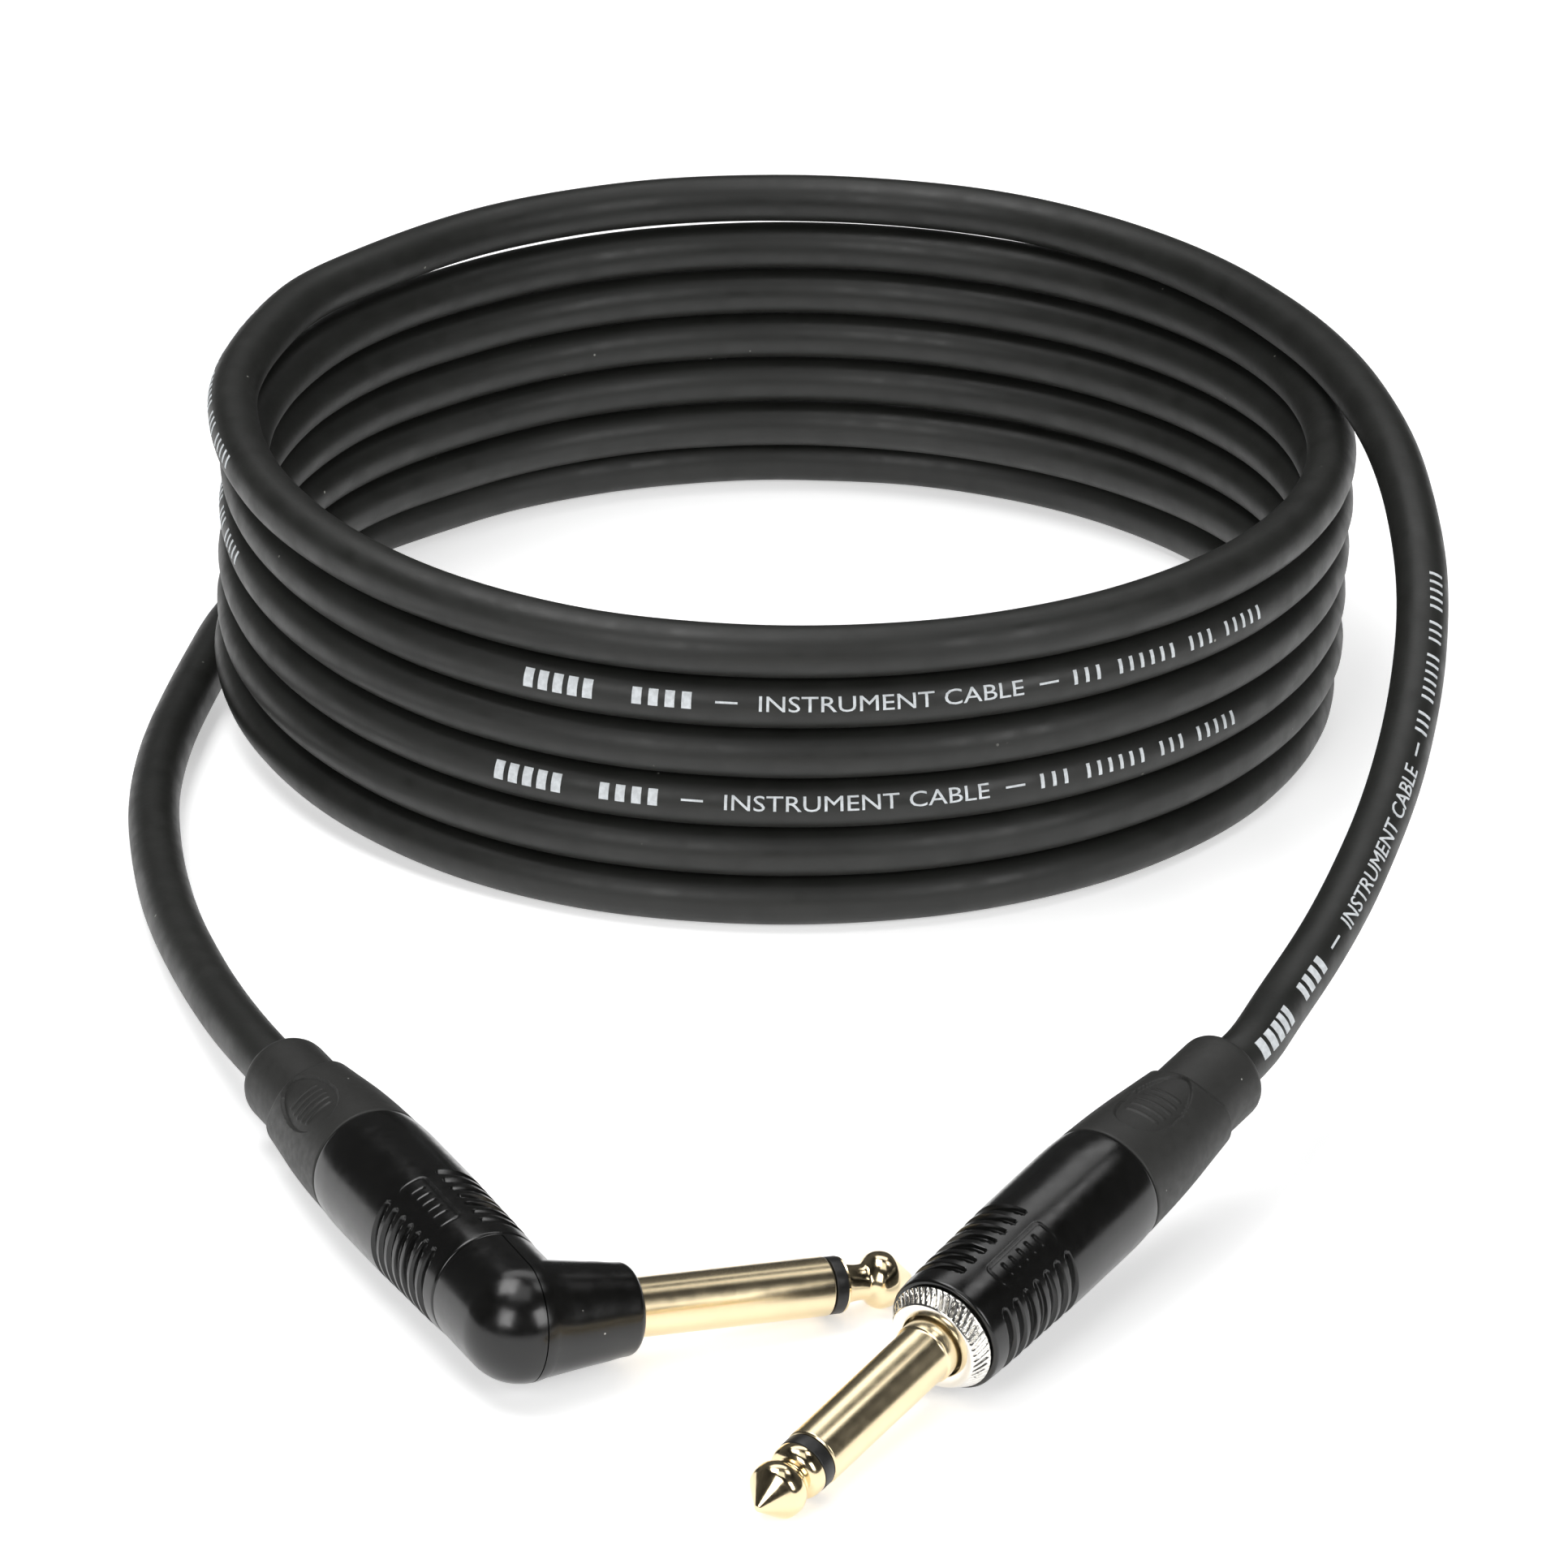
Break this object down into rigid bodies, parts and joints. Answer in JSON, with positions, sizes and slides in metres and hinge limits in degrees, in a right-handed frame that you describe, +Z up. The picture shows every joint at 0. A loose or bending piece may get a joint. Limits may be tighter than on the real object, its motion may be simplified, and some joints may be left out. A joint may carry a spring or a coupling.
{
  "type": "instrument cable",
  "caption": "Coiled shielded instrument lead with a straight gold jack plug at one end and a right-angle gold jack plug at the other; both boots unscrew.",
  "frame": {"origin": "on the surface the cable lies on, in the middle of the footprint of the two plugs", "axes": "+Z up; +Y from the plugs towards the coil; +X from the right-angle plug towards the straight plug's boot, with the plugs' tips facing the viewer's side"},
  "size_m": [0.1589, 0.2761, 0.0446],
  "materials": {
    "cord_jacket": "matte, slightly satin PVC",
    "gloss_black": "high gloss moulded black",
    "boot_grey": "matte dark grey",
    "gold_plate": "polished pale gold plating",
    "nickel_plate": "bright nickel plating",
    "insulator_black": "moulded black insulator",
    "insulator_white": "natural moulded plastic",
    "copper_strand": "bare stranded copper"
  },
  "bodies": {
    "root": {"cable_coil": "cord_jacket", "cable_tail_straight": "cord_jacket", "cable_tail_angle": "cord_jacket", "straight_tip_contact": "gold_plate", "straight_tip_insulator": "insulator_black", "straight_sleeve_contact": "gold_plate", "straight_rear_insulator": "insulator_white", "straight_ground_lug": "nickel_plate", "straight_knurled_ring": "nickel_plate", "straight_shell": "gloss_black", "straight_insulating_sleeve": "insulator_white", "straight_cable_core": "insulator_white", "straight_conductor": "copper_strand", "straight_shield_tail": "copper_strand", "angle_tip_contact": "gold_plate", "angle_tip_insulator": "insulator_black", "angle_sleeve_contact": "gold_plate", "angle_rear_insulator": "insulator_white", "angle_ground_lug": "nickel_plate", "angle_shell": "gloss_black", "angle_insulating_sleeve": "insulator_white", "angle_cable_core": "insulator_white", "angle_conductor": "copper_strand", "angle_shield_tail": "copper_strand", "angle_elbow_housing": "gloss_black", "angle_elbow_cover": "gloss_black"},
    "straight_chuck_carrier": {"straight_chuck": "insulator_white"},
    "straight_boot_nut": {"straight_boot": "boot_grey", "straight_boot_gland": "insulator_black"},
    "angle_chuck_carrier": {"angle_chuck": "insulator_white"},
    "angle_boot_nut": {"angle_boot": "boot_grey", "angle_boot_gland": "insulator_black"}
  },
  "joints": [
    {"name": "straight_chuck_slide", "type": "slide", "parent": "root", "child": "straight_chuck_carrier", "axis": [0.569, 0.8096, 0.1444], "range_m": [0, 0.005]},
    {"name": "straight_boot_unscrew", "type": "hinge", "parent": "straight_chuck_carrier", "child": "straight_boot_nut", "pos_m": [0.03793, 0.00891, 0.01177], "axis": [0.569, 0.8096, 0.1444], "range_deg": [0, 1805]},
    {"name": "angle_chuck_slide", "type": "slide", "parent": "root", "child": "angle_chuck_carrier", "axis": [-0.4586, 0.8885, -0.014], "range_m": [0, 0.005]},
    {"name": "angle_boot_unscrew", "type": "hinge", "parent": "angle_chuck_carrier", "child": "angle_boot_nut", "pos_m": [-0.04027, 0.01905, 0.00717], "axis": [-0.4586, 0.8885, -0.014], "range_deg": [0, 1805]}
  ],
  "couplings": [
    {"joint": "straight_boot_unscrew", "follows": "straight_chuck_slide", "rad_per_m": 6283.2},
    {"joint": "angle_boot_unscrew", "follows": "angle_chuck_slide", "rad_per_m": 6283.2}
  ]
}
